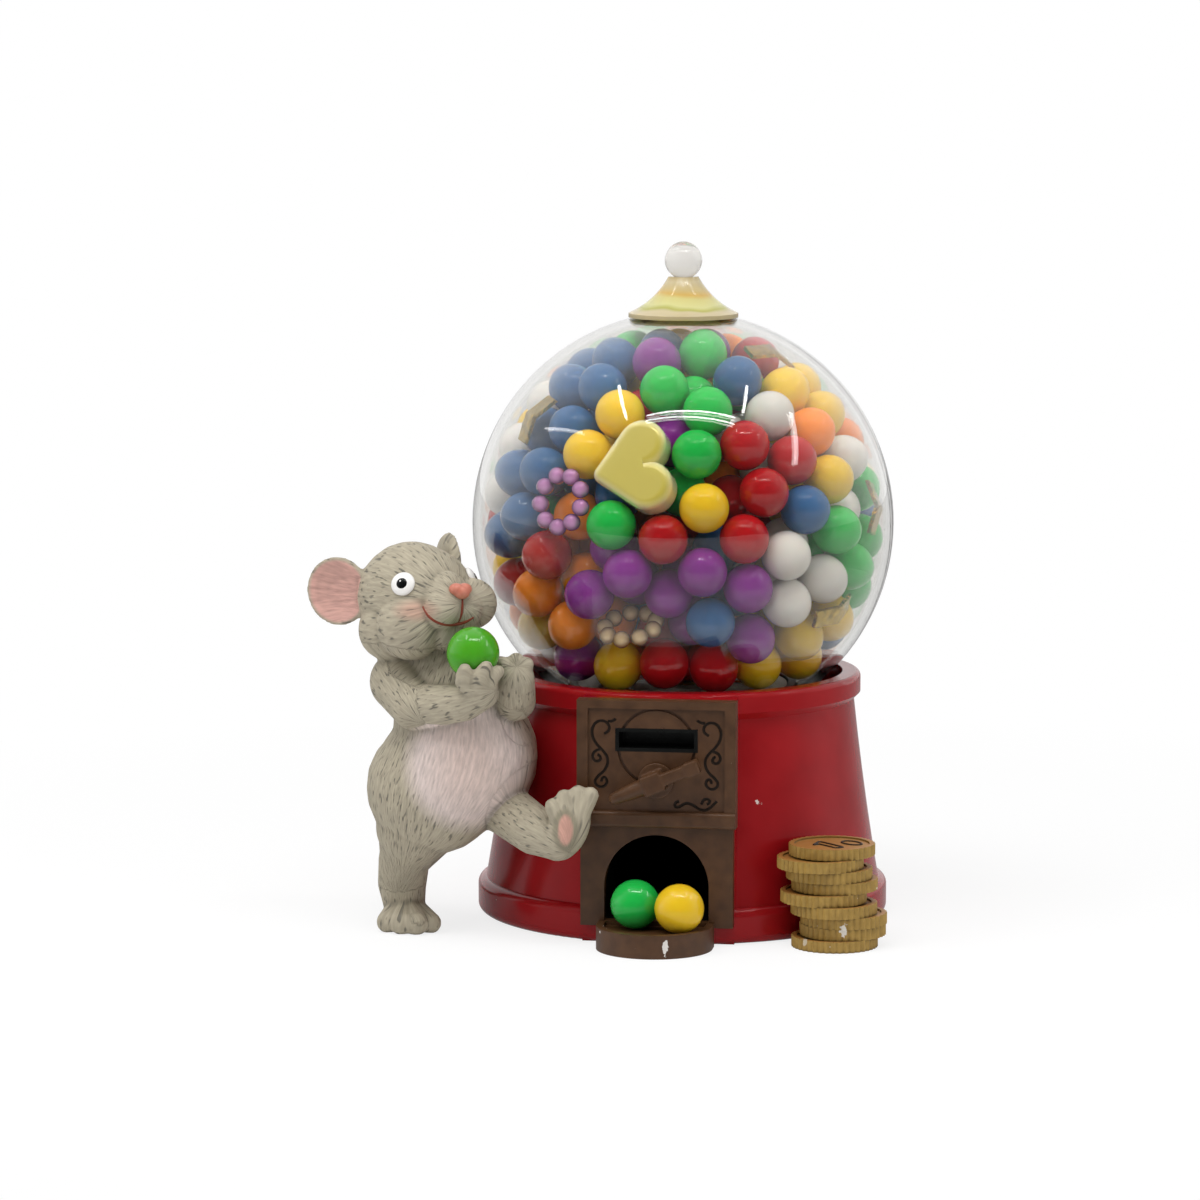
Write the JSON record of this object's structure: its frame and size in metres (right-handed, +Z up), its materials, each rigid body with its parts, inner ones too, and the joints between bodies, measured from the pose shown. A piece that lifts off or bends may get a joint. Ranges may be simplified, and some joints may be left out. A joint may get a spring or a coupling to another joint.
{
  "type": "gumball machine",
  "caption": "Small ornamental gumball machine: clear globe of gumballs on a flared red base with a crank, coin slot, chute and tray, a coin stack, and a mouse figure leaning on it.",
  "frame": {"origin": "on the machine's axis, on the plane that it stands on", "axes": "+Z up, -Y out of the coin front, +X to the viewer's right when facing the coin front"},
  "size_m": [0.0957, 0.0808, 0.1117],
  "materials": {
    "red_gloss": "glossy painted resin",
    "brown_resin": "satin painted resin",
    "black_plastic": "matt",
    "white_plastic": "moulded satin",
    "steel": "plain",
    "brass": "plain",
    "clear_acrylic": "clear polished",
    "amber_acrylic": "gold-tinted clear, polished",
    "rubber": "matt",
    "gum_red": "gloss",
    "gum_orange": "gloss",
    "gum_yellow": "gloss",
    "gum_green": "gloss",
    "gum_blue": "gloss",
    "gum_purple": "gloss",
    "gum_white": "gloss",
    "pearl_yellow": "pearlescent",
    "pearl_pink": "pearlescent",
    "pearl_cream": "pearlescent",
    "gold_foil": "mirror foil",
    "coin_gold": "gold paint on resin",
    "mouse_grey": "brushed paint on resin"
  },
  "bodies": {
    "base": {"base_housing": "red_gloss", "bottom_cover": "black_plastic", "bottom_screws": "steel", "coin_panel": "brown_resin", "chute_panel": "brown_resin", "coin_slot_liner": "black_plastic", "delivery_tray": "brown_resin", "delivery_duct": "black_plastic", "hopper_floor": "white_plastic", "hopper_screws": "steel", "wheel_axle": "steel", "pocket_guard": "white_plastic", "crank_bush": "brass", "globe": "clear_acrylic", "globe_gasket": "rubber", "gumballs_red": "gum_red", "gumballs_orange": "gum_orange", "gumballs_yellow": "gum_yellow", "gumballs_green": "gum_green", "gumballs_blue": "gum_blue", "gumballs_purple": "gum_purple", "gumballs_white": "gum_white", "heart_bead": "pearl_yellow", "pearl_ring_pink": "pearl_pink", "pearl_ring_cream": "pearl_cream", "gold_foil_chips": "gold_foil", "tray_gumball_green": "gum_green", "tray_gumball_yellow": "gum_yellow", "coin_stack": "coin_gold", "mouse_figure": "mouse_grey", "held_gumball": "gum_green"},
    "crank": {"crank_handle": "brown_resin", "crank_shaft": "steel", "thrust_washer": "steel", "drive_pinion": "white_plastic"},
    "wheel": {"dispensing_wheel": "white_plastic", "pocket_gumballs": "gum_white"},
    "lid": {"lid_cap": "amber_acrylic", "lid_finial": "clear_acrylic"}
  },
  "joints": [
    {"name": "crank_turn", "type": "hinge", "parent": "base", "child": "crank", "pos_m": [0, -0.036, 0.027], "axis": [0, 1, 0], "continuous": true},
    {"name": "wheel_turn", "type": "hinge", "parent": "base", "child": "wheel", "pos_m": [0, 0, 0.035], "axis": [0, 0, 1], "continuous": true},
    {"name": "lid_lift", "type": "slide", "parent": "base", "child": "lid", "axis": [0, 0, 1], "range_m": [0, 0.04]}
  ],
  "couplings": [
    {"joint": "wheel_turn", "follows": "crank_turn", "ratio": 0.24242}
  ]
}
